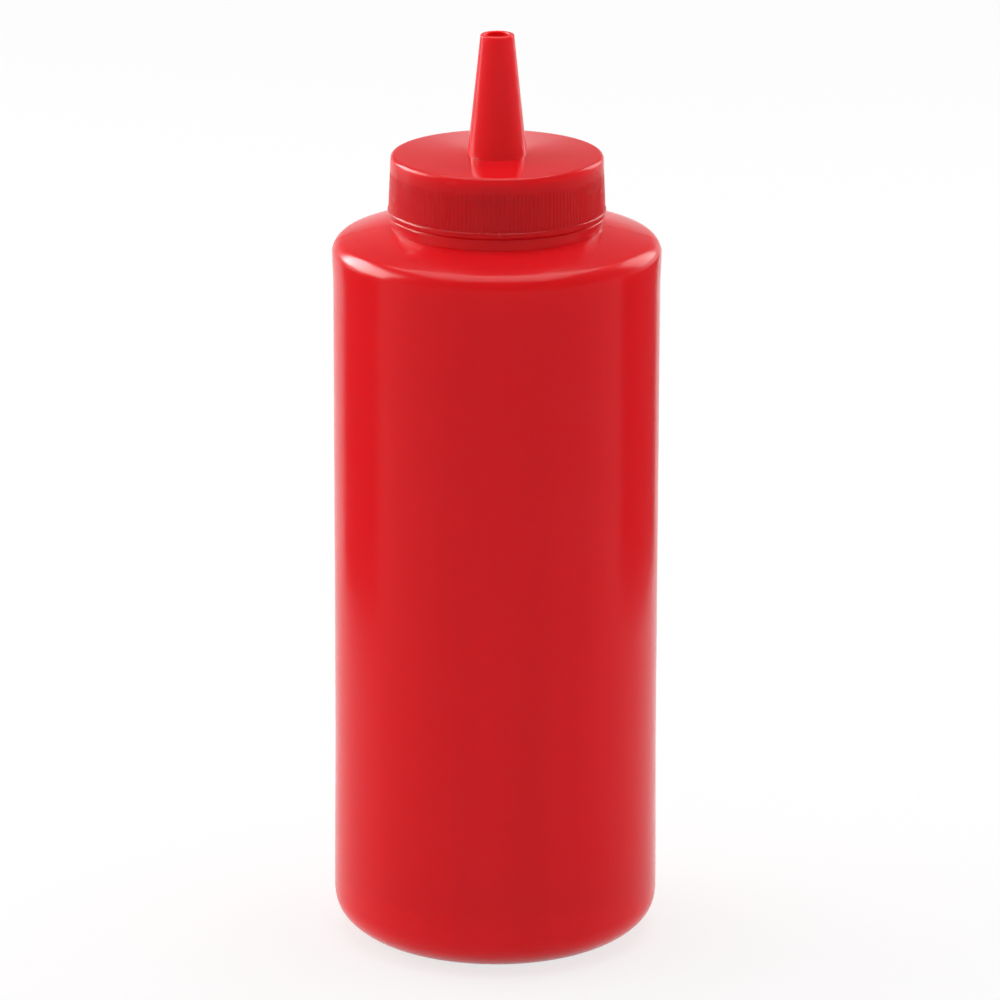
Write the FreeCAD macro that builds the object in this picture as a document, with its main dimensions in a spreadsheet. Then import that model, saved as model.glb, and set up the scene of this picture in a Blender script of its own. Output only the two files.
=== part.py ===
"""Squeeze bottle for sauces: a round bottle and its ribbed cap, whose deck carries a cone nozzle.

Millimetres, +Z up. The origin is the centre of the ring foot that the bottle stands on.
The bottle is one solid, filled and shut. The cap is lowered over the plain neck: its deck is
seated face to face on the lip, and its skirt stops just above the ring round the neck's root.
"""
import FreeCAD
import Part
import Sketcher
import math
import os

# name, size in mm unless said otherwise, what it is
SIZES = (
    ("body_radius", 30.0, "outside of the straight wall"),
    ("wall_top", 129.9, "height where the wall turns in to the shoulder"),
    ("heel_corner_radius", 6.2, "rounding from the wall into the heel"),
    ("heel_corner_turn", 43.0, "degrees that this rounding turns"),
    ("heel_floor_radius", 10.4, "wider rounding from there to the foot"),
    ("foot_width", 1.6, "flat of the ring foot"),
    ("push_up_depth", 1.2, "hollow in the base, inside the ring foot"),
    ("push_up_lean", 1.0, "how far the hollow's side leans in"),
    ("shoulder_corner_radius", 2.95, "rounding from the wall into the shoulder"),
    ("shoulder_corner_turn", 70.0, "degrees that this rounding turns"),
    ("shoulder_crown_radius", 48.0, "radius of the shoulder's shallow dome"),
    ("ring_width", 1.1, "how far the ring round the neck's root stands out from the neck"),
    ("ring_rise", 6.9, "from the top of the wall to the ring's upper face"),
    ("ring_edge", 0.6, "rounding of the ring's upper edge"),
    ("neck_radius", 18.5, "outside of the plain neck"),
    ("neck_clearance", 0.2, "room round the neck inside the cap"),
    ("cap_gap", 0.65, "slit between the ring and the cap's skirt"),
    ("skirt_wall", 1.18, "cap's wall at the skirt's lower edge"),
    ("skirt_draft", 0.46, "how much smaller the cap's outside radius is at the deck"),
    ("cap_height", 10.7, "from the skirt's lower edge to the top of the deck"),
    ("cap_top_edge", 0.75, "rounding of the deck's outer edge"),
    ("cap_base_edge", 0.4, "rounding of the skirt's lower edge"),
    ("deck_thickness", 1.5, "from the lip to the top of the deck"),
    ("nozzle_base_radius", 5.38, "cone nozzle's outside at the deck"),
    ("nozzle_tip_radius", 3.09, "cone nozzle's outside at the tip"),
    ("nozzle_height", 22.15, "from the deck to the tip"),
    ("nozzle_foot_edge", 0.3, "rounding where the nozzle meets the deck"),
    ("tip_edge", 0.3, "rounding of the tip's outer edge"),
    ("bore_tip_radius", 1.85, "hole at the tip"),
    ("bore_base_radius", 2.7, "hole at the underside of the deck"),
    ("rib_count", 160, "ribs round the skirt, one groove beside each"),
    ("groove_width", 0.38, "each groove, across"),
    ("groove_depth", 0.18, "each groove, into the skirt"),
    ("plain_below_ribs", 0.75, "plain band between the ribs and the lower edge"),
    ("plain_above_ribs", 3.0, "plain band between the ribs and the deck"),
)

doc = FreeCAD.newDocument("SqueezeBottle")
sheet = doc.addObject("Spreadsheet::Sheet", "Sizes")
for row, (name, value, meaning) in enumerate(SIZES, start=1):
    sheet.set(f"A{row}", name)
    sheet.set(f"B{row}", str(value))
    sheet.setAlias(f"B{row}", name)
    sheet.set(f"C{row}", meaning)
doc.recompute()

# what follows from the sizes, as the sheet reckons it
RING_RADIUS = "(Sizes.neck_radius + Sizes.ring_width)"
RING_TOP = "(Sizes.wall_top + Sizes.ring_rise)"
CAP_BASE = f"({RING_TOP} + Sizes.cap_gap)"
UNDER_DECK = "(Sizes.cap_height - Sizes.deck_thickness)"
TIP = "(Sizes.cap_height + Sizes.nozzle_height)"
SOCKET_RADIUS = "(Sizes.neck_radius + Sizes.neck_clearance)"
SKIRT_RADIUS = f"({SOCKET_RADIUS} + Sizes.skirt_wall)"
DECK_RADIUS = f"({SKIRT_RADIUS} - Sizes.skirt_draft)"
RIBS_TOP = "(Sizes.cap_height - Sizes.plain_above_ribs)"
HEEL_TURN = "(Sizes.heel_corner_turn * 1 deg)"
SHOULDER_TURN = "(Sizes.shoulder_corner_turn * 1 deg)"
HEEL_IN = (
    f"(Sizes.heel_corner_radius * (1 - cos({HEEL_TURN}))"
    f" + Sizes.heel_floor_radius * cos({HEEL_TURN}))"
)
HEEL_UP = (
    f"(Sizes.heel_corner_radius * sin({HEEL_TURN})"
    f" + Sizes.heel_floor_radius * (1 - sin({HEEL_TURN})))"
)
PUSH_UP_MOUTH = f"(Sizes.body_radius - {HEEL_IN} - Sizes.foot_width)"
GROOVE_FLOOR = f"({SKIRT_RADIUS} - Sizes.groove_depth)"
DRAFT = "(Sizes.skirt_draft / Sizes.cap_height)"

HORIZONTAL_AXIS = -1  # how a sketch names its horizontal axis, whose start is the origin
VERTICAL_AXIS = -2
START = 1
END = 2
FULL_TURN = 360.0
SAME_PLACE = 0.01  # two sizes closer than this are the same edge's


def size(expression):
    """The number that an expression on the sheet comes to."""
    return float(sheet.evalExpression(expression))


def origin_feature(body, role):
    return next(feature for feature in body.Origin.OriginFeatures if feature.Role == role)


def half_section(body, name):
    """A sketch on the body's XZ plane, where across is the radius and up is the height."""
    sketch = body.newObject("Sketcher::SketchObject", name)
    sketch.AttachmentSupport = [(origin_feature(body, "XZ_Plane"), "")]
    sketch.MapMode = "FlatFace"
    return sketch


def add_line(sketch, start, end):
    return sketch.addGeometry(Part.LineSegment(FreeCAD.Vector(*start), FreeCAD.Vector(*end)))


def add_arc(sketch, centre, radius, start_degrees, end_degrees):
    circle = Part.Circle(FreeCAD.Vector(*centre), FreeCAD.Vector(0, 0, 1), radius)
    return sketch.addGeometry(
        Part.ArcOfCircle(circle, math.radians(start_degrees), math.radians(end_degrees))
    )


def bind(sketch, constraint, expression):
    """Adds a dimension to the sketch and ties it to the sheet."""
    index = sketch.addConstraint(constraint)
    sketch.setExpression(f"Constraints[{index}]", expression)


def bind_point(sketch, edge, end, across=None, up=None):
    """Ties how far across and how far up one end of an edge lies from the sketch's origin."""
    for kind, expression in (("DistanceX", across), ("DistanceY", up)):
        if expression:
            place = Sketcher.Constraint(kind, HORIZONTAL_AXIS, START, edge, end, 1.0)
            bind(sketch, place, expression)


def close_outline(sketch, edges, tangent=()):
    """Joins the edges end to start into a loop; those in tangent also run on smoothly."""
    for edge, following in zip(edges, edges[1:] + edges[:1]):
        kind = "Tangent" if edge in tangent else "Coincident"
        sketch.addConstraint(Sketcher.Constraint(kind, edge, END, following, START))


def outline(sketch, corners):
    """A closed run of straight lines through the corners; returns the lines, in order."""
    edges = [add_line(sketch, a, b) for a, b in zip(corners, corners[1:] + corners[:1])]
    close_outline(sketch, edges)
    return edges


def square_up(sketch, horizontal=(), vertical=()):
    for edge in horizontal:
        sketch.addConstraint(Sketcher.Constraint("Horizontal", edge))
    for edge in vertical:
        sketch.addConstraint(Sketcher.Constraint("Vertical", edge))


def spin(body, sketch, kind, name):
    """Turns the half section about its vertical axis: kind is Revolution or Groove."""
    feature = body.newObject(f"PartDesign::{kind}", name)
    feature.Profile = sketch
    feature.ReferenceAxis = (sketch, ["V_Axis"])
    feature.Angle = FULL_TURN
    doc.recompute()


def round_edge(body, name, radius, height, edge_size):
    """A fillet on the circular edge of this radius at this height above the body's origin."""
    base = body.Tip

    def is_the_edge(edge):
        circle = edge.Curve
        return (
            isinstance(circle, Part.Circle)
            and abs(circle.Radius - radius) < SAME_PLACE
            and abs(circle.Center.z - height) < SAME_PLACE
        )

    found = [f"Edge{i}" for i, edge in enumerate(base.Shape.Edges, start=1) if is_the_edge(edge)]
    if not found:
        raise ValueError(f"{name}: no edge of radius {radius:.2f} at height {height:.2f}")
    fillet = body.newObject("PartDesign::Fillet", name)
    fillet.Base = (base, found)
    fillet.setExpression("Radius", f"Sizes.{edge_size}")
    doc.recompute()


def make_bottle():
    """Blow-moulded body: foot, heel, straight wall, domed shoulder, ring and plain neck."""
    body = doc.addObject("PartDesign::Body", "Bottle")
    body.Label = "bottle"
    sketch = half_section(body, "BottleSection")

    body_radius = size("body_radius")
    wall_top = size("wall_top")
    corner = size("heel_corner_radius")
    floor = size("heel_floor_radius")
    turn = size("heel_corner_turn")
    foot = body_radius - size(HEEL_IN)
    heel_top = size(HEEL_UP)

    shoulder = size("shoulder_corner_radius")
    shoulder_turn = size("shoulder_corner_turn")
    crown = size("shoulder_crown_radius")
    ring = size(RING_RADIUS)
    ring_top = size(RING_TOP)
    neck = size("neck_radius")
    lip = size(f"{CAP_BASE} + {UNDER_DECK}")
    crown_across = body_radius - shoulder - (crown - shoulder) * math.cos(math.radians(shoulder_turn))
    crown_up = wall_top - (crown - shoulder) * math.sin(math.radians(shoulder_turn))
    crown_end = math.acos((ring - crown_across) / crown)
    ring_foot = crown_up + crown * math.sin(crown_end)

    base = add_line(sketch, (0, 0), (foot, 0))
    heel_floor = add_arc(sketch, (foot, floor), floor, -90, -turn)
    heel_corner = add_arc(sketch, (body_radius - corner, heel_top), corner, -turn, 0)
    wall = add_line(sketch, (body_radius, heel_top), (body_radius, wall_top))
    shoulder_corner = add_arc(sketch, (body_radius - shoulder, wall_top), shoulder, 0, shoulder_turn)
    shoulder_crown = add_arc(
        sketch, (crown_across, crown_up), crown, shoulder_turn, math.degrees(crown_end)
    )
    ring_side = add_line(sketch, (ring, ring_foot), (ring, ring_top))
    ring_face = add_line(sketch, (ring, ring_top), (neck, ring_top))
    neck_side = add_line(sketch, (neck, ring_top), (neck, lip))
    lip_face = add_line(sketch, (neck, lip), (0, lip))
    axis = add_line(sketch, (0, lip), (0, 0))
    close_outline(
        sketch,
        [base, heel_floor, heel_corner, wall, shoulder_corner, shoulder_crown,
         ring_side, ring_face, neck_side, lip_face, axis],
        tangent=(base, heel_floor, heel_corner, wall, shoulder_corner),
    )
    square_up(
        sketch,
        horizontal=(base, ring_face, lip_face),
        vertical=(wall, ring_side, neck_side, axis),
    )
    sketch.addConstraint(Sketcher.Constraint("Coincident", base, START, HORIZONTAL_AXIS, START))
    for edge, name in (
        (heel_floor, "heel_floor_radius"),
        (heel_corner, "heel_corner_radius"),
        (shoulder_corner, "shoulder_corner_radius"),
        (shoulder_crown, "shoulder_crown_radius"),
    ):
        bind(sketch, Sketcher.Constraint("Radius", edge, size(name)), f"Sizes.{name}")
    for edge, bend in ((heel_corner, HEEL_TURN), (shoulder_corner, SHOULDER_TURN)):
        bind(sketch, Sketcher.Constraint("Angle", edge, math.radians(size(bend))), bend)
    bind_point(sketch, wall, END, across="Sizes.body_radius", up="Sizes.wall_top")
    bind_point(sketch, ring_side, END, across=RING_RADIUS, up=RING_TOP)
    bind_point(sketch, neck_side, END, across="Sizes.neck_radius", up=f"{CAP_BASE} + {UNDER_DECK}")
    spin(body, sketch, "Revolution", "BottleTurned")
    round_edge(body, "RingEdge", ring, ring_top, "ring_edge")

    hollow = half_section(body, "PushUpSection")
    mouth = size(PUSH_UP_MOUTH)
    depth = size("push_up_depth")
    roof_edge = mouth - size("push_up_lean")
    mouth_line, side, roof, hollow_axis = outline(
        hollow, [(0, 0), (mouth, 0), (roof_edge, depth), (0, depth)]
    )
    square_up(hollow, horizontal=(mouth_line, roof), vertical=(hollow_axis,))
    hollow.addConstraint(
        Sketcher.Constraint("Coincident", mouth_line, START, HORIZONTAL_AXIS, START)
    )
    bind_point(hollow, side, START, across=PUSH_UP_MOUTH)
    bind_point(
        hollow, side, END, across=f"{PUSH_UP_MOUTH} - Sizes.push_up_lean", up="Sizes.push_up_depth"
    )
    spin(body, hollow, "Groove", "PushUp")
    return body


def make_cap():
    """Moulded cap, drawn from the skirt's lower edge up: deck, skirt, socket, cone nozzle and ribs."""
    body = doc.addObject("PartDesign::Body", "Cap")
    body.Label = "cap"
    body.setExpression("Placement.Base.z", CAP_BASE)

    base_radius = size(SKIRT_RADIUS)
    top_radius = size(DECK_RADIUS)
    height = size("cap_height")
    shell = half_section(body, "SkirtSection")
    lower, side, deck, shell_axis = outline(
        shell, [(0, 0), (base_radius, 0), (top_radius, height), (0, height)]
    )
    square_up(shell, horizontal=(lower, deck), vertical=(shell_axis,))
    shell.addConstraint(Sketcher.Constraint("Coincident", lower, START, HORIZONTAL_AXIS, START))
    bind_point(shell, side, START, across=SKIRT_RADIUS)
    bind_point(shell, side, END, across=DECK_RADIUS, up="Sizes.cap_height")
    spin(body, shell, "Revolution", "SkirtAndDeck")
    round_edge(body, "DeckEdge", top_radius, height, "cap_top_edge")

    nozzle_base = size("nozzle_base_radius")
    nozzle_tip = size("nozzle_tip_radius")
    tip = size(TIP)
    cone = half_section(body, "NozzleSection")
    root, cone_side, tip_face, cone_axis = outline(
        cone, [(0, height), (nozzle_base, height), (nozzle_tip, tip), (0, tip)]
    )
    square_up(cone, horizontal=(root, tip_face), vertical=(cone_axis,))
    bind_point(cone, root, END, across="Sizes.nozzle_base_radius", up="Sizes.cap_height")
    bind_point(cone, cone_side, END, across="Sizes.nozzle_tip_radius", up=TIP)
    cone.addConstraint(Sketcher.Constraint("PointOnObject", cone_axis, START, VERTICAL_AXIS))
    spin(body, cone, "Revolution", "Nozzle")
    round_edge(body, "NozzleFoot", nozzle_base, height, "nozzle_foot_edge")
    round_edge(body, "TipEdge", nozzle_tip, tip, "tip_edge")

    underside = size(UNDER_DECK)
    socket_radius = size(SOCKET_RADIUS)
    socket = half_section(body, "SocketSection")
    mouth, wall, roof, socket_axis = outline(
        socket, [(0, 0), (socket_radius, 0), (socket_radius, underside), (0, underside)]
    )
    square_up(socket, horizontal=(mouth, roof), vertical=(wall, socket_axis))
    socket.addConstraint(Sketcher.Constraint("Coincident", mouth, START, HORIZONTAL_AXIS, START))
    bind_point(socket, wall, END, across=SOCKET_RADIUS, up=UNDER_DECK)
    spin(body, socket, "Groove", "Socket")
    round_edge(body, "SkirtEdge", base_radius, 0, "cap_base_edge")

    bore = half_section(body, "BoreSection")
    bore_mouth, bore_wall, bore_end, bore_axis = outline(
        bore,
        [(0, underside), (size("bore_base_radius"), underside), (size("bore_tip_radius"), tip), (0, tip)],
    )
    square_up(bore, horizontal=(bore_mouth, bore_end), vertical=(bore_axis,))
    bind_point(bore, bore_wall, START, across="Sizes.bore_base_radius", up=UNDER_DECK)
    bind_point(bore, bore_wall, END, across="Sizes.bore_tip_radius", up=TIP)
    bore.addConstraint(Sketcher.Constraint("PointOnObject", bore_axis, START, VERTICAL_AXIS))
    spin(body, bore, "Groove", "Bore")

    add_ribs(body)
    return body


def add_ribs(body):
    """Cuts one groove along the drafted skirt and repeats it round the cap."""
    low = size("plain_below_ribs")
    high = size(RIBS_TOP)
    foot_floor = f"({GROOVE_FLOOR} - {DRAFT} * Sizes.plain_below_ribs)"
    head_floor = f"({GROOVE_FLOOR} - {DRAFT} * {RIBS_TOP})"
    clear_of_skirt = f"({SKIRT_RADIUS} + Sizes.groove_depth)"
    beyond = size(clear_of_skirt)
    groove = half_section(body, "GrooveSection")
    floor, lower, outer, upper = outline(
        groove,
        [(size(head_floor), high), (size(foot_floor), low), (beyond, low), (beyond, high)],
    )
    square_up(groove, horizontal=(lower, upper), vertical=(outer,))
    bind_point(groove, floor, START, across=head_floor, up=RIBS_TOP)
    bind_point(groove, floor, END, across=foot_floor, up="Sizes.plain_below_ribs")
    bind_point(groove, outer, START, across=clear_of_skirt)
    cut = body.newObject("PartDesign::Pocket", "Groove")
    cut.Profile = groove
    cut.Midplane = True
    cut.setExpression("Length", "Sizes.groove_width")
    doc.recompute()
    ring = body.newObject("PartDesign::PolarPattern", "Ribs")
    ring.Originals = [cut]
    ring.Axis = (origin_feature(body, "Z_Axis"), [""])
    ring.Angle = FULL_TURN
    ring.setExpression("Occurrences", "Sizes.rib_count")
    body.Tip = ring
    doc.recompute()


def check_and_write(bodies):
    """Stops on any failed object or bad solid, then writes each sub-part's STEP file."""
    doc.recompute()
    failed = [obj.Name for obj in doc.Objects if {"Invalid", "Error"} & set(obj.State)]
    if failed:
        raise RuntimeError(f"failed objects: {failed}")
    for body in bodies:
        if body.Shape.isNull() or not body.Shape.isValid() or len(body.Shape.Solids) != 1:
            raise RuntimeError(f"{body.Label}: not one valid solid")
    os.makedirs("parts", exist_ok=True)
    for body in bodies:
        body.Shape.exportStep(f"parts/{body.Label}.step")
        print(body.Label, round(body.Shape.Volume), "mm3", body.Shape.BoundBox)


check_and_write([make_bottle(), make_cap()])
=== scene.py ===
"""A squeeze bottle for sauces: the blown bottle, the moulded cap with its nozzle, and the studio.

Metres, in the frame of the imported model: +Z up the bottle's axis, standing on the foot at zero.
"""
import math

import bmesh
import bpy
from mathutils import Matrix, Vector


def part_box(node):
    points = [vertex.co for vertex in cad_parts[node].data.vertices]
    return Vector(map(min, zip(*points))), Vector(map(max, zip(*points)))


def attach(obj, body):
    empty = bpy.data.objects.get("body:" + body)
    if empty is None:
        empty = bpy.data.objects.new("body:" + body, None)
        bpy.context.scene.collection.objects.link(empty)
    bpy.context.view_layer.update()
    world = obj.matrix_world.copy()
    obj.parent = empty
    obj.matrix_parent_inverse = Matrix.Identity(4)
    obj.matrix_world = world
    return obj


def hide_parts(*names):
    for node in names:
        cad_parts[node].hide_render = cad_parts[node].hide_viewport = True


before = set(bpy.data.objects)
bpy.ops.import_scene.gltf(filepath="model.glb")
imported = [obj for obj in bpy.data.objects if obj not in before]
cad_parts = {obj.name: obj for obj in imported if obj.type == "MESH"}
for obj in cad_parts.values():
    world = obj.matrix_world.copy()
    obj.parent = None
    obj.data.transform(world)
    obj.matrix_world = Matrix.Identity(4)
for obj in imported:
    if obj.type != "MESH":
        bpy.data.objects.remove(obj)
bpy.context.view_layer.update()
MM = 0.001


# ------------------------------------------------------------------------------------------
# The bottle. Soft polyethylene, blown out of a hot tube against the two halves of a mould, so
# its wall bows in a little as it cools, and a hair-fine seam runs up both sides. A ring stands
# round the root of the neck, just below the cap.
# ------------------------------------------------------------------------------------------

SEAM_WIDTH, SEAM_PROUD = 0.4 * MM, 0.05 * MM  # the line left by the two halves of the mould
BOTTLE_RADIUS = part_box("bottle")[1].x - SEAM_PROUD
LIP_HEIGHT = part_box("bottle")[1].z
CAP_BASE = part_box("cap")[0].z
WALL_TOP = 129.9 * MM
# the heel is two arcs, a wide one up from the floor and a tighter one into the wall, and so is
# the shoulder, a tight corner and the wide crown above it; each turn is where one meets the other
HEEL_CORNER, HEEL_FLOOR, HEEL_TURN = 6.2 * MM, 10.4 * MM, math.radians(43)
HEEL_UP = HEEL_CORNER * math.sin(HEEL_TURN) + HEEL_FLOOR * (1 - math.sin(HEEL_TURN))
FOOT_RADIUS = BOTTLE_RADIUS - HEEL_CORNER * (1 - math.cos(HEEL_TURN)) - HEEL_FLOOR * math.cos(HEEL_TURN)
SHOULDER_CORNER, SHOULDER_CROWN, SHOULDER_TURN = 2.95 * MM, 48 * MM, math.radians(70)
CROWN_ARM = SHOULDER_CROWN - SHOULDER_CORNER
CROWN_ACROSS = BOTTLE_RADIUS - SHOULDER_CORNER - CROWN_ARM * math.cos(SHOULDER_TURN)
CROWN_UP = WALL_TOP - CROWN_ARM * math.sin(SHOULDER_TURN)
NECK_RADIUS = 18.5 * MM
RING_RADIUS = 19.6 * MM
CAP_DROP, CAP_GAP = 0.3 * MM, 0.1 * MM  # the cap is screwed down almost on to the ring
RING_TOP = CAP_BASE - CAP_DROP - CAP_GAP
RING_EDGE = 0.3 * MM
FOOT_WIDTH, PUSH_UP_DEPTH, PUSH_UP_LEAN = 1.6 * MM, 1.2 * MM, 1.0 * MM  # the flat ring under it
WALL_BOW = 0.22 * MM  # how far the wall draws in as it cools
PANEL_EASE = 7 * MM  # height over which it draws in below the shoulder
HEEL_EASE = 34 * MM  # and comes out again above the heel
BOTTLE_STEPS = 288
WALL_ROWS = 80
HEEL_FLOOR_STEPS, HEEL_CORNER_STEPS, SHOULDER_STEPS, RING_EDGE_STEPS = 16, 14, 18, 10
SHARP_ANGLE = 24  # faces that meet at more degrees than this keep a crisp edge
# painted light: heel, shoulder top and ring are painted paler than the wall, as if more brightly lit
BOTTLE_REDS_WITH_PAINTED_LIGHT = (
    (0, "#FF2029"), (4 * MM, "#F41E27"), (13 * MM, "#E31B23"),
    (133.5 * MM, "#E31B23"), (135.6 * MM, "#FF2029"), (RING_TOP, "#FF2029"),
)


def run_to(outline, vert, radius, height):
    """Draws the outline straight on to a radius and a height."""
    end = bmesh.ops.extrude_vert_indiv(outline, verts=[vert])["verts"][0]
    end.co = (radius, 0, height)
    return end


def bend(outline, vert, centre, turn, steps):
    """Draws the outline on round an arc; centre is its radius and height, and turn is in radians."""
    arc = bmesh.ops.spin(
        outline, geom=[vert], cent=(centre[0], 0, centre[1]), axis=(0, -1, 0),
        angle=turn, steps=steps, use_merge=False,
    )
    return next(item for item in arc["geom_last"] if isinstance(item, bmesh.types.BMVert))


def lathe(outline, steps):
    """Spins the outline a full turn about the axis and shuts its seam and poles."""
    bmesh.ops.spin(
        outline, geom=outline.verts[:] + outline.edges[:], cent=(0, 0, 0), axis=(0, 0, 1),
        angle=2 * math.pi, steps=steps, use_merge=True,
    )
    bmesh.ops.remove_doubles(outline, verts=outline.verts, dist=0.001 * MM)
    bmesh.ops.recalc_face_normals(outline, faces=outline.faces)


def finish_piece(bm, name, node, material):
    """Makes the mesh a smooth piece that rides in the one body and stands for a node of the frame."""
    mesh = bpy.data.meshes.new(name)
    bm.to_mesh(mesh)
    bm.free()
    mesh.shade_smooth()
    mesh.set_sharp_from_angle(angle=math.radians(SHARP_ANGLE))
    mesh.materials.append(material)
    piece = bpy.data.objects.new(name, mesh)
    bpy.context.scene.collection.objects.link(piece)
    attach(piece, "root")
    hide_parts(node)


def wall_offset(height):
    """How far the straight wall is drawn in at a height."""
    below = min(max((WALL_TOP - height) / PANEL_EASE, 0), 1)
    above = min(max((height - HEEL_UP) / HEEL_EASE, 0), 1)
    return WALL_BOW * math.sin(below * math.pi / 2) ** 2 * math.sin(above * math.pi / 2) ** 2


def bottle_outline():
    """The bottle's half section, from the middle of its base up to the middle of its lip."""
    outline = bmesh.new()
    pen = outline.verts.new((0, 0, PUSH_UP_DEPTH))
    pen = run_to(outline, pen, FOOT_RADIUS - FOOT_WIDTH - PUSH_UP_LEAN, PUSH_UP_DEPTH)
    pen = run_to(outline, pen, FOOT_RADIUS - FOOT_WIDTH - PUSH_UP_LEAN / 4, PUSH_UP_DEPTH / 3)
    pen = run_to(outline, pen, FOOT_RADIUS - FOOT_WIDTH, 0)
    pen = run_to(outline, pen, FOOT_RADIUS, 0)
    pen = bend(outline, pen, (FOOT_RADIUS, HEEL_FLOOR), math.pi / 2 - HEEL_TURN, HEEL_FLOOR_STEPS)
    pen = bend(outline, pen, (BOTTLE_RADIUS - HEEL_CORNER, HEEL_UP), HEEL_TURN, HEEL_CORNER_STEPS)
    for row in range(1, WALL_ROWS + 1):
        height = HEEL_UP + (WALL_TOP - HEEL_UP) * row / WALL_ROWS
        pen = run_to(outline, pen, BOTTLE_RADIUS - wall_offset(height), height)
    corner = (BOTTLE_RADIUS - SHOULDER_CORNER, WALL_TOP)
    pen = bend(outline, pen, corner, SHOULDER_TURN, SHOULDER_STEPS)
    # the crown runs in until it meets the ring
    crown_end = math.acos((RING_RADIUS - CROWN_ACROSS) / SHOULDER_CROWN)
    pen = bend(outline, pen, (CROWN_ACROSS, CROWN_UP), crown_end - SHOULDER_TURN, SHOULDER_STEPS)
    pen = run_to(outline, pen, RING_RADIUS, RING_TOP - RING_EDGE)
    pen = bend(outline, pen, (RING_RADIUS - RING_EDGE, RING_TOP - RING_EDGE), math.pi / 2, RING_EDGE_STEPS)
    pen = run_to(outline, pen, NECK_RADIUS, RING_TOP)
    pen = run_to(outline, pen, NECK_RADIUS, LIP_HEIGHT)
    run_to(outline, pen, 0, LIP_HEIGHT)
    return outline


def raise_seam(bm, width, proud, low, high):
    """Raises a hair-fine line where the mould's halves met, in the plane of X and Z."""
    for side in (width / 2, -width / 2):
        bmesh.ops.bisect_plane(
            bm, geom=bm.verts[:] + bm.edges[:] + bm.faces[:], dist=0.001 * MM,
            plane_co=(0, side, 0), plane_no=(0, 1, 0),
        )
    bm.normal_update()
    crest = [vert for vert in bm.verts if abs(vert.co.y) < 0.001 * MM and low < vert.co.z < high]
    for vert, out in [(vert, vert.normal.copy()) for vert in crest]:
        bmesh.ops.translate(bm, vec=out * proud, verts=[vert])


def linear(hex_colour):
    """An sRGB hex colour as the linear colour that a shader takes."""
    channels = [int(hex_colour[i:i + 2], 16) / 255 for i in (1, 3, 5)]
    return [c / 12.92 if c <= 0.04045 else ((c + 0.055) / 1.055) ** 2.4 for c in channels] + [1]


def add_node(material, kind, inputs=None, **settings):
    """Adds a shader node with its settings, and fills its inputs with values or with links."""
    node = material.node_tree.nodes.new(kind)
    for name, value in settings.items():
        setattr(node, name, value)
    for name, value in (inputs or {}).items():
        if isinstance(value, bpy.types.NodeSocket):
            material.node_tree.links.new(value, node.inputs[name])
        else:
            node.inputs[name].default_value = value
    return node


def noise(material, place, size, detail=1.5):
    """Soft noise with lumps of about one size, in metres."""
    return add_node(
        material, "ShaderNodeTexNoise",
        {"Vector": place, "Scale": 1 / size, "Detail": detail, "Roughness": 0.45},
    ).outputs["Fac"]


def spread(material, factor, low, high):
    """Spreads the middle of a noise over a range of values."""
    return add_node(
        material, "ShaderNodeMapRange",
        {"Value": factor, "From Min": 0.3, "From Max": 0.7, "To Min": low, "To Max": high},
    ).outputs["Result"]


def height_colours(material, place, stops):
    """Colours that change with height: each stop is a height in metres and a hex colour."""
    low, high = stops[0][0], stops[-1][0]
    height = add_node(material, "ShaderNodeSeparateXYZ", {"Vector": place}).outputs["Z"]
    share = add_node(
        material, "ShaderNodeMapRange", {"Value": height, "From Min": low, "From Max": high},
    )
    ramp = add_node(material, "ShaderNodeValToRGB", {"Fac": share.outputs["Result"]})
    while len(ramp.color_ramp.elements) < len(stops):
        ramp.color_ramp.elements.new(0.5)
    for element, (up, colour) in zip(ramp.color_ramp.elements, stops):
        element.position = (up - low) / (high - low)
        element.color = linear(colour)
    return ramp.outputs["Color"]


def mottle(material, colour, factor, depth):
    """Darkens a colour by up to a share where a noise is low."""
    shade = spread(material, factor, 1 - depth, 1)
    return add_node(
        material, "ShaderNodeMix", {0: 1.0, 6: colour, 7: shade}, data_type="RGBA", blend_type="MULTIPLY",
    ).outputs[2]


def bump(material, height, depth, under=None):
    """Bumps of a depth in metres, laid over the bumps under them."""
    inputs = {"Height": height, "Strength": 1.0, "Distance": depth}
    if under:
        inputs["Normal"] = under
    return add_node(material, "ShaderNodeBump", inputs).outputs["Normal"]


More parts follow.
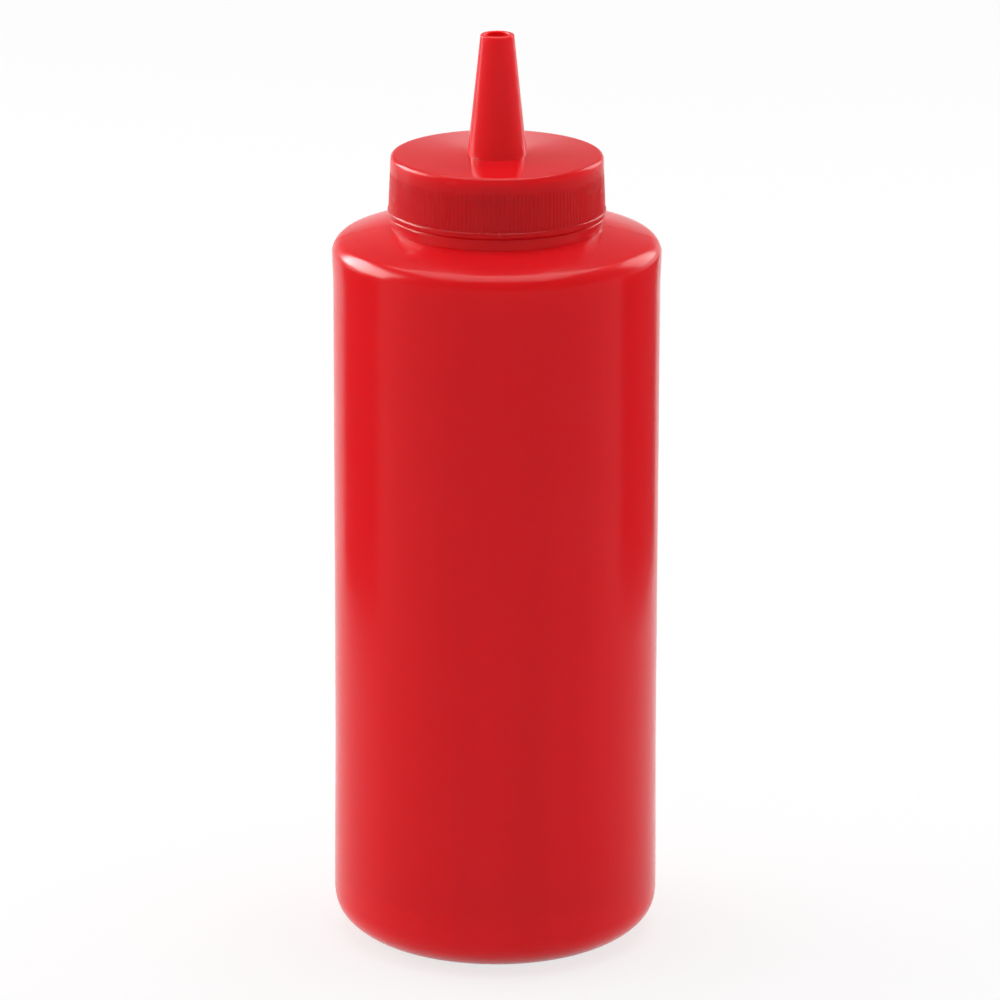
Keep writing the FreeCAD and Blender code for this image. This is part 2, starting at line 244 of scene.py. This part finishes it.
def blow_moulded_polyethylene():
    """Red low-density polyethylene as it leaves a blow mould: glossy, waxy and faintly rippled."""
    material = bpy.data.materials.new("blow_moulded_polyethylene")
    material.use_nodes = True
    tree = material.node_tree
    surface = tree.nodes["Principled BSDF"]
    place = add_node(material, "ShaderNodeTexCoord").outputs["Object"]
    # the hot tube stretches as it is blown, which leaves faint streaks up the wall, 9 mm apart
    drawn = add_node(material, "ShaderNodeMapping", {"Vector": place, "Scale": (1, 1, 0.04)})
    streaks = noise(material, drawn.outputs["Vector"], 9 * MM)
    # a few grains of dust and burnt pigment, none more than 0.3 mm across
    grain = add_node(material, "ShaderNodeTexVoronoi", {"Vector": place, "Scale": 1 / (3 * MM)})
    near = add_node(
        material, "ShaderNodeMath", {0: grain.outputs["Distance"], 1: 0.05}, operation="LESS_THAN",
    )
    rare = add_node(
        material, "ShaderNodeMath", {0: grain.outputs["Color"], 1: 0.93}, operation="GREATER_THAN",
    )
    speck = add_node(
        material, "ShaderNodeMath", {0: near.outputs[0], 1: rare.outputs[0]}, operation="MULTIPLY",
    )
    # painted light: the reds follow height, paler at the heel and towards the ring
    reds_with_painted_light = height_colours(material, place, BOTTLE_REDS_WITH_PAINTED_LIGHT)
    coloured = add_node(
        material, "ShaderNodeMix",
        {0: speck.outputs[0], 6: mottle(material, reds_with_painted_light, streaks, 0.04), 7: linear("#7A0C0C")},
        data_type="RGBA",
    )
    tree.links.new(coloured.outputs[2], surface.inputs["Base Color"])
    # the skin is glossier where it was pressed harder against the cold mould
    patches = spread(material, noise(material, place, 11 * MM), 0.17, 0.23)
    tree.links.new(patches, surface.inputs["Roughness"])
    # the ripple of a wall that cooled unevenly, 14 mm from crest to crest, then the streaks, then
    # the pebble of the mould's blasted face, drawn at 0.9 mm so that it shows
    normal = bump(material, noise(material, place, 14 * MM), 0.05 * MM)
    normal = bump(material, streaks, 0.02 * MM, normal)
    normal = bump(material, noise(material, place, 0.9 * MM, 2.0), 0.003 * MM, normal)
    tree.links.new(normal, surface.inputs["Normal"])
    surface.inputs["IOR"].default_value = 1.51
    # a waxy skin that mirrors far less of the room than a clear surface of this index would
    surface.inputs["Specular IOR Level"].default_value = 0.12
    # light passes through the hollow wall, so red spreads far round the bottle, and less far
    # where the shoulder and the ring are thick
    surface.inputs["Subsurface Weight"].default_value = 1.0
    surface.inputs["Subsurface Radius"].default_value = (1.0, 0.06, 0.06)
    height = add_node(material, "ShaderNodeSeparateXYZ", {"Vector": place}).outputs["Z"]
    reach = add_node(
        material, "ShaderNodeMapRange",
        {
            "Value": height, "From Min": WALL_TOP - 10 * MM, "From Max": RING_TOP,
            "To Min": 28 * MM, "To Max": 2 * MM,
        },
    )
    tree.links.new(reach.outputs["Result"], surface.inputs["Subsurface Scale"])
    return material


bottle_mesh = bottle_outline()
lathe(bottle_mesh, BOTTLE_STEPS)
raise_seam(bottle_mesh, SEAM_WIDTH, SEAM_PROUD, HEEL_UP / 4, RING_TOP - RING_EDGE)
finish_piece(bottle_mesh, "bottle_blown", "bottle", blow_moulded_polyethylene())


# ------------------------------------------------------------------------------------------
# The cap. Polyethylene, injection-moulded in one shot: a flat deck, a skirt with fine ribs to
# grip, and a cone nozzle open at its tip, with a bore that widens downwards. The skirt ends in
# a plain rim that stands just clear of the bottle's ring.
# ------------------------------------------------------------------------------------------

SKIRT_BASE = CAP_BASE - CAP_DROP
TIP_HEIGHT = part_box("cap")[1].z
DECK_THICKNESS = 1.5 * MM
DECK_HEIGHT = LIP_HEIGHT + DECK_THICKNESS
SKIRT_BASE_RADIUS, SKIRT_TOP_RADIUS = 19.88 * MM, 19.42 * MM
SOCKET_RADIUS = 18.7 * MM
DECK_EDGE, SKIRT_EDGE = 0.75 * MM, 0.25 * MM
NOZZLE_BASE_RADIUS, NOZZLE_TIP_RADIUS = 5.38 * MM, 3.09 * MM
NOZZLE_FOOT, TIP_EDGE = 0.06 * MM, 0.3 * MM
BORE_BASE_RADIUS, BORE_TIP_RADIUS = 2.9 * MM, 2.15 * MM
RIB_COUNT = 160
RIB_DEPTH, RIB_FLANK = 0.07 * MM, 0.11 * MM  # how deep a groove is, and how wide its slope
PLAIN_BELOW_RIBS, PLAIN_ABOVE_RIBS = 0.75 * MM, 3.0 * MM
RIBS_BASE, RIBS_TOP = CAP_BASE + PLAIN_BELOW_RIBS, DECK_HEIGHT - PLAIN_ABOVE_RIBS
RIM_EDGE, RIM_PROUD = 0.3 * MM, 0.12 * MM  # the rim below the ribs stands out a hair
CONE_ROWS = 12
DECK_EDGE_STEPS, SMALL_EDGE_STEPS = 8, 6
# painted shade: the skirt is darker; painted light: the rim of the deck and the thin nozzle are paler, as
# if glowing
CAP_REDS_WITH_PAINTED_SHADE_AND_LIGHT = (
    (CAP_BASE, "#D9181F"), (DECK_HEIGHT - 4 * MM, "#D9181F"), (DECK_HEIGHT - 0.8 * MM, "#FF1E26"),
    (DECK_HEIGHT - 0.1 * MM, "#D8171E"), (DECK_HEIGHT + 0.02 * MM, "#D8171E"),
    (DECK_HEIGHT + 0.1 * MM, "#FF1E27"), (TIP_HEIGHT, "#FF222B"),
)


def skirt_radius(height):
    """Outside of the drafted skirt at a height."""
    share = (height - CAP_BASE) / (DECK_HEIGHT - CAP_BASE)
    return SKIRT_BASE_RADIUS + (SKIRT_TOP_RADIUS - SKIRT_BASE_RADIUS) * share


def cap_outline():
    """The cap's half section, closed: down the bore, under the deck, up the skirt and the nozzle."""
    outline = bmesh.new()
    pen = outline.verts.new((BORE_TIP_RADIUS, 0, TIP_HEIGHT - TIP_EDGE))
    pen = run_to(outline, pen, BORE_BASE_RADIUS, LIP_HEIGHT)
    pen = run_to(outline, pen, SOCKET_RADIUS, LIP_HEIGHT)
    pen = run_to(outline, pen, SOCKET_RADIUS, SKIRT_BASE)
    pen = run_to(outline, pen, SKIRT_BASE_RADIUS - SKIRT_EDGE, SKIRT_BASE)
    edge_centre = (SKIRT_BASE_RADIUS - SKIRT_EDGE, SKIRT_BASE + SKIRT_EDGE)
    pen = bend(outline, pen, edge_centre, math.pi / 2, SMALL_EDGE_STEPS)
    # the rim's round edge ends where the ribbed band starts
    step = SKIRT_BASE_RADIUS - skirt_radius(RIBS_BASE) + RIM_PROUD
    rim_turn = math.acos(1 - step / RIM_EDGE)
    pen = run_to(outline, pen, SKIRT_BASE_RADIUS, RIBS_BASE - RIM_EDGE * math.sin(rim_turn))
    pen = bend(outline, pen, (pen.co.x - RIM_EDGE, pen.co.z), rim_turn, SMALL_EDGE_STEPS)
    for height in (RIBS_TOP, DECK_HEIGHT - DECK_EDGE):
        pen = run_to(outline, pen, skirt_radius(height) - RIM_PROUD, height)
    deck_edge_centre = (pen.co.x - DECK_EDGE, DECK_HEIGHT - DECK_EDGE)
    pen = bend(outline, pen, deck_edge_centre, math.pi / 2, DECK_EDGE_STEPS)
    # the nozzle leans in from a tiny fillet at its foot to the round edge of its tip
    foot_across = NOZZLE_BASE_RADIUS + NOZZLE_FOOT
    pen = run_to(outline, pen, foot_across, DECK_HEIGHT)
    lean = math.atan((NOZZLE_BASE_RADIUS - NOZZLE_TIP_RADIUS) / (TIP_HEIGHT - DECK_HEIGHT))
    foot_turn = math.pi / 2 - lean
    pen = bend(outline, pen, (foot_across, DECK_HEIGHT + NOZZLE_FOOT), -foot_turn, SMALL_EDGE_STEPS)
    foot_radius, foot_height = pen.co.x, pen.co.z
    top_radius = NOZZLE_TIP_RADIUS - TIP_EDGE * (1 - math.cos(lean))
    top_height = TIP_HEIGHT - TIP_EDGE * (1 - math.sin(lean))
    for row in range(1, CONE_ROWS + 1):
        share = row / CONE_ROWS
        pen = run_to(
            outline, pen,
            foot_radius + (top_radius - foot_radius) * share,
            foot_height + (top_height - foot_height) * share,
        )
    outer_lip = (NOZZLE_TIP_RADIUS - TIP_EDGE, TIP_HEIGHT - TIP_EDGE)
    pen = bend(outline, pen, outer_lip, foot_turn, SMALL_EDGE_STEPS)
    pen = run_to(outline, pen, BORE_TIP_RADIUS + TIP_EDGE, TIP_HEIGHT)
    inner_lip = (BORE_TIP_RADIUS + TIP_EDGE, TIP_HEIGHT - TIP_EDGE)
    bend(outline, pen, inner_lip, math.pi / 2, SMALL_EDGE_STEPS)
    return outline


def cut_ribs(bm):
    """Sinks every other column of the skirt's ribbed band, and leaves the ribs standing."""
    column = math.pi / RIB_COUNT
    grooves = []
    for face in bm.faces:
        middle = face.calc_center_median()
        outside = math.hypot(middle.x, middle.y) > (SOCKET_RADIUS + SKIRT_TOP_RADIUS) / 2
        if outside and RIBS_BASE < middle.z < RIBS_TOP:
            if int(math.atan2(middle.y, middle.x) % (2 * math.pi) / column) % 2:
                grooves.append(face)
    bmesh.ops.inset_region(bm, faces=grooves, thickness=RIB_FLANK, depth=-RIB_DEPTH, use_even_offset=True)


def injection_moulded_polyethylene():
    """Red polyethylene from a steel mould: satin, with the faint sink of thick and thin places."""
    material = bpy.data.materials.new("injection_moulded_polyethylene")
    material.use_nodes = True
    tree = material.node_tree
    surface = tree.nodes["Principled BSDF"]
    place = add_node(material, "ShaderNodeTexCoord").outputs["Object"]
    # painted shade on the skirt and painted light on the deck's rim and the nozzle, by height; and the
    # pigment is mixed a little unevenly
    reds_with_painted_light = height_colours(material, place, CAP_REDS_WITH_PAINTED_SHADE_AND_LIGHT)
    coloured = mottle(material, reds_with_painted_light, noise(material, place, 7 * MM), 0.04)
    tree.links.new(coloured, surface.inputs["Base Color"])
    # handling has polished some places and dulled others, and the deck and nozzle come out of the
    # mould smoother than the skirt, so that the nozzle is mirrored in the deck
    height = add_node(material, "ShaderNodeSeparateXYZ", {"Vector": place}).outputs["Z"]
    polish = add_node(
        material, "ShaderNodeMapRange",
        {
            "Value": height, "From Min": DECK_HEIGHT - 0.4 * MM, "From Max": DECK_HEIGHT,
            "To Min": 1.0, "To Max": 0.5,
        },
    )
    rough = add_node(
        material, "ShaderNodeMath",
        {0: polish.outputs["Result"], 1: spread(material, noise(material, place, 4 * MM), 0.2, 0.28)},
        operation="MULTIPLY",
    )
    tree.links.new(rough.outputs[0], surface.inputs["Roughness"])
    # the deck sinks a little between thick and thin places, and the mould's steel leaves a fine grain
    normal = bump(material, noise(material, place, 9 * MM), 0.02 * MM)
    normal = bump(material, noise(material, place, 0.7 * MM, 2.0), 0.002 * MM, normal)
    tree.links.new(normal, surface.inputs["Normal"])
    # the same waxy skin as the bottle's
    surface.inputs["IOR"].default_value = 1.51
    surface.inputs["Specular IOR Level"].default_value = 0.12
    # light spreads a few millimetres in the skirt and deck, and less in the nozzle's thin wall
    surface.inputs["Subsurface Weight"].default_value = 1.0
    surface.inputs["Subsurface Radius"].default_value = (1.0, 0.12, 0.12)
    reach = add_node(
        material, "ShaderNodeMapRange",
        {
            "Value": height, "From Min": DECK_HEIGHT, "From Max": DECK_HEIGHT + 0.5 * MM,
            "To Min": 2 * MM, "To Max": 0.8 * MM,
        },
    )
    tree.links.new(reach.outputs["Result"], surface.inputs["Subsurface Scale"])
    return material


cap_mesh = cap_outline()
lathe(cap_mesh, 2 * RIB_COUNT)
cut_ribs(cap_mesh)
finish_piece(cap_mesh, "cap_moulded", "cap", injection_moulded_polyethylene())


# ------------------------------------------------------------------------------------------
# The studio. A pale painted floor that curves up into a low wall all round. One large soft lamp
# overhead and a fill on each side light the bottle; five more lamps only glint, and draw its
# highlights; and a low dark card on each side shows only in its gloss.
# ------------------------------------------------------------------------------------------

AIM = Vector((0, 0, 90 * MM))


def soft_lamp(name, azimuth, elevation, distance, size, radiance, diffuse=True, glossy=True):
    """A soft flat lamp aimed at the bottle: azimuth 0 is in front, 90 to the right; size in metres.

    With diffuse off it lights nothing and only glints; with glossy off it lights and never glints.
    """
    a, e = math.radians(azimuth), math.radians(elevation)
    away = Vector((math.sin(a) * math.cos(e), -math.cos(a) * math.cos(e), math.sin(e)))
    light = bpy.data.lights.new(name, "AREA")
    light.shape = "RECTANGLE"
    light.size, light.size_y = size
    light.energy = radiance * math.pi * light.size * light.size_y
    lamp = bpy.data.objects.new(name, light)
    lamp.location = AIM + away * distance
    lamp.rotation_euler = away.to_track_quat("Z", "Y").to_euler()
    lamp.visible_camera = False
    lamp.visible_diffuse = diffuse
    lamp.visible_glossy = glossy
    bpy.context.scene.collection.objects.link(lamp)


soft_lamp("room_light", 180, 80, 2.6, (2.4, 2.4), 2.45, glossy=False)
soft_lamp("fill_left", -105, 22, 0.9, (0.9, 0.6), 2.2, glossy=False)
soft_lamp("fill_right", 112, 22, 0.9, (0.9, 0.6), 1.2, glossy=False)
soft_lamp("gloss_over", 180, 85, 0.65, (0.7, 0.7), 4.7, diffuse=False)
soft_lamp("gloss_left", -109, 23, 0.9, (0.84, 0.57), 19, diffuse=False)
soft_lamp("gloss_right", 131, 23, 0.9, (0.48, 0.57), 5.2, diffuse=False)
soft_lamp("gloss_left_low", -115, -2, 0.9, (0.3, 0.14), 2.6, diffuse=False)
soft_lamp("gloss_right_low", 134, -2, 0.9, (0.3, 0.14), 0.9, diffuse=False)


def dark_card(name, azimuth, distance, width, height):
    """A dark grey card on edge beside the bottle; only the gloss sees it, where it darkens the sides."""
    material = bpy.data.materials.new("dark_grey_card")
    material.use_nodes = True
    surface = material.node_tree.nodes["Principled BSDF"]
    surface.inputs["Base Color"].default_value = linear("#505050")
    surface.inputs["Roughness"].default_value = 0.9
    bm = bmesh.new()
    bmesh.ops.create_grid(bm, x_segments=1, y_segments=1, size=0.5)
    bmesh.ops.scale(bm, vec=(width, height, 1), verts=bm.verts)
    bmesh.ops.rotate(bm, matrix=Matrix.Rotation(math.radians(90), 3, "X"), verts=bm.verts)
    bmesh.ops.translate(bm, vec=(0, -distance, height / 2), verts=bm.verts)
    bmesh.ops.rotate(bm, matrix=Matrix.Rotation(math.radians(azimuth), 3, "Z"), verts=bm.verts)
    mesh = bpy.data.meshes.new(name)
    bm.to_mesh(mesh)
    bm.free()
    mesh.materials.append(material)
    card = bpy.data.objects.new(name, mesh)
    card.visible_camera = False
    card.visible_diffuse = False
    card.visible_shadow = False
    bpy.context.scene.collection.objects.link(card)


dark_card("card_left", -109, 0.22, 0.18, 0.1)
dark_card("card_right", 121, 0.22, 0.23, 0.1)


PAINT_SHARE = 0.75  # how much of the paint is seen as pure white, whatever shade falls on it


def studio_paint():
    """Matt pale paint that camera and gloss see as nearly white, with a quarter of its shade left."""
    material = bpy.data.materials.new("matt_studio_paint")
    material.use_nodes = True
    tree = material.node_tree
    surface = tree.nodes["Principled BSDF"]
    surface.inputs["Base Color"].default_value = linear("#F4F4F4")
    surface.inputs["Roughness"].default_value = 0.9
    surface.inputs["Specular IOR Level"].default_value = 0.1
    ray = add_node(material, "ShaderNodeLightPath")
    seen = add_node(
        material, "ShaderNodeMath",
        {0: ray.outputs["Is Camera Ray"], 1: ray.outputs["Is Glossy Ray"]}, operation="MAXIMUM",
    )
    seen = add_node(
        material, "ShaderNodeMath",
        {0: seen.outputs[0], 1: ray.outputs["Is Transmission Ray"]}, operation="MAXIMUM",
    )
    share = add_node(material, "ShaderNodeMath", {0: seen.outputs[0], 1: PAINT_SHARE}, operation="MULTIPLY")
    white = add_node(material, "ShaderNodeEmission", {"Color": (1, 1, 1, 1), "Strength": 1.0})
    mixed = add_node(
        material, "ShaderNodeMixShader",
        {0: share.outputs[0], 1: surface.outputs[0], 2: white.outputs[0]},
    )
    tree.links.new(mixed.outputs[0], tree.nodes["Material Output"].inputs["Surface"])
    return material


COVE_FLOOR, COVE_CURVE, COVE_TOP = 5.4, 0.6, 1.1  # metres
COVE_STEPS = 96
cove = bmesh.new()
pen = run_to(cove, cove.verts.new((0, 0, 0)), COVE_FLOOR, 0)
pen = bend(cove, pen, (COVE_FLOOR, COVE_CURVE), math.pi / 2, 12)
run_to(cove, pen, COVE_FLOOR + COVE_CURVE, COVE_TOP)
lathe(cove, COVE_STEPS)
# the floor faces up and the wall faces in
bmesh.ops.reverse_faces(cove, faces=[face for face in cove.faces if face.normal.z < 0])
cove_mesh = bpy.data.meshes.new("studio_cove")
cove.to_mesh(cove_mesh)
cove.free()
cove_mesh.shade_smooth()
cove_mesh.materials.append(studio_paint())
studio = bpy.data.objects.new("studio_cove", cove_mesh)
bpy.context.scene.collection.objects.link(studio)

world = bpy.data.worlds.new("studio_room")
bpy.context.scene.world = world
world.use_nodes = True
background = world.node_tree.nodes["Background"]
background.inputs["Color"].default_value = (1, 1, 1, 1)
background.inputs["Strength"].default_value = 0.35

# The camera stands more than a metre in front and looks down on the bottle through a long lens.
CAMERA_PLACE = (0.7 * MM, -1144.8 * MM, 426.36 * MM)
CAMERA_PITCH, CAMERA_ROLL = 16.712, 0.152  # degrees
camera_data = bpy.data.cameras.new("camera")
camera_data.sensor_width = 36
camera_data.lens = 233.8
camera = bpy.data.objects.new("camera", camera_data)
bpy.context.scene.collection.objects.link(camera)
camera.matrix_world = (
    Matrix.Translation(CAMERA_PLACE)
    @ Matrix.Rotation(math.radians(90 - CAMERA_PITCH), 4, "X")
    @ Matrix.Rotation(math.radians(CAMERA_ROLL), 4, "Z")
)
bpy.context.scene.camera = camera
bpy.context.scene.view_settings.view_transform = "Standard"
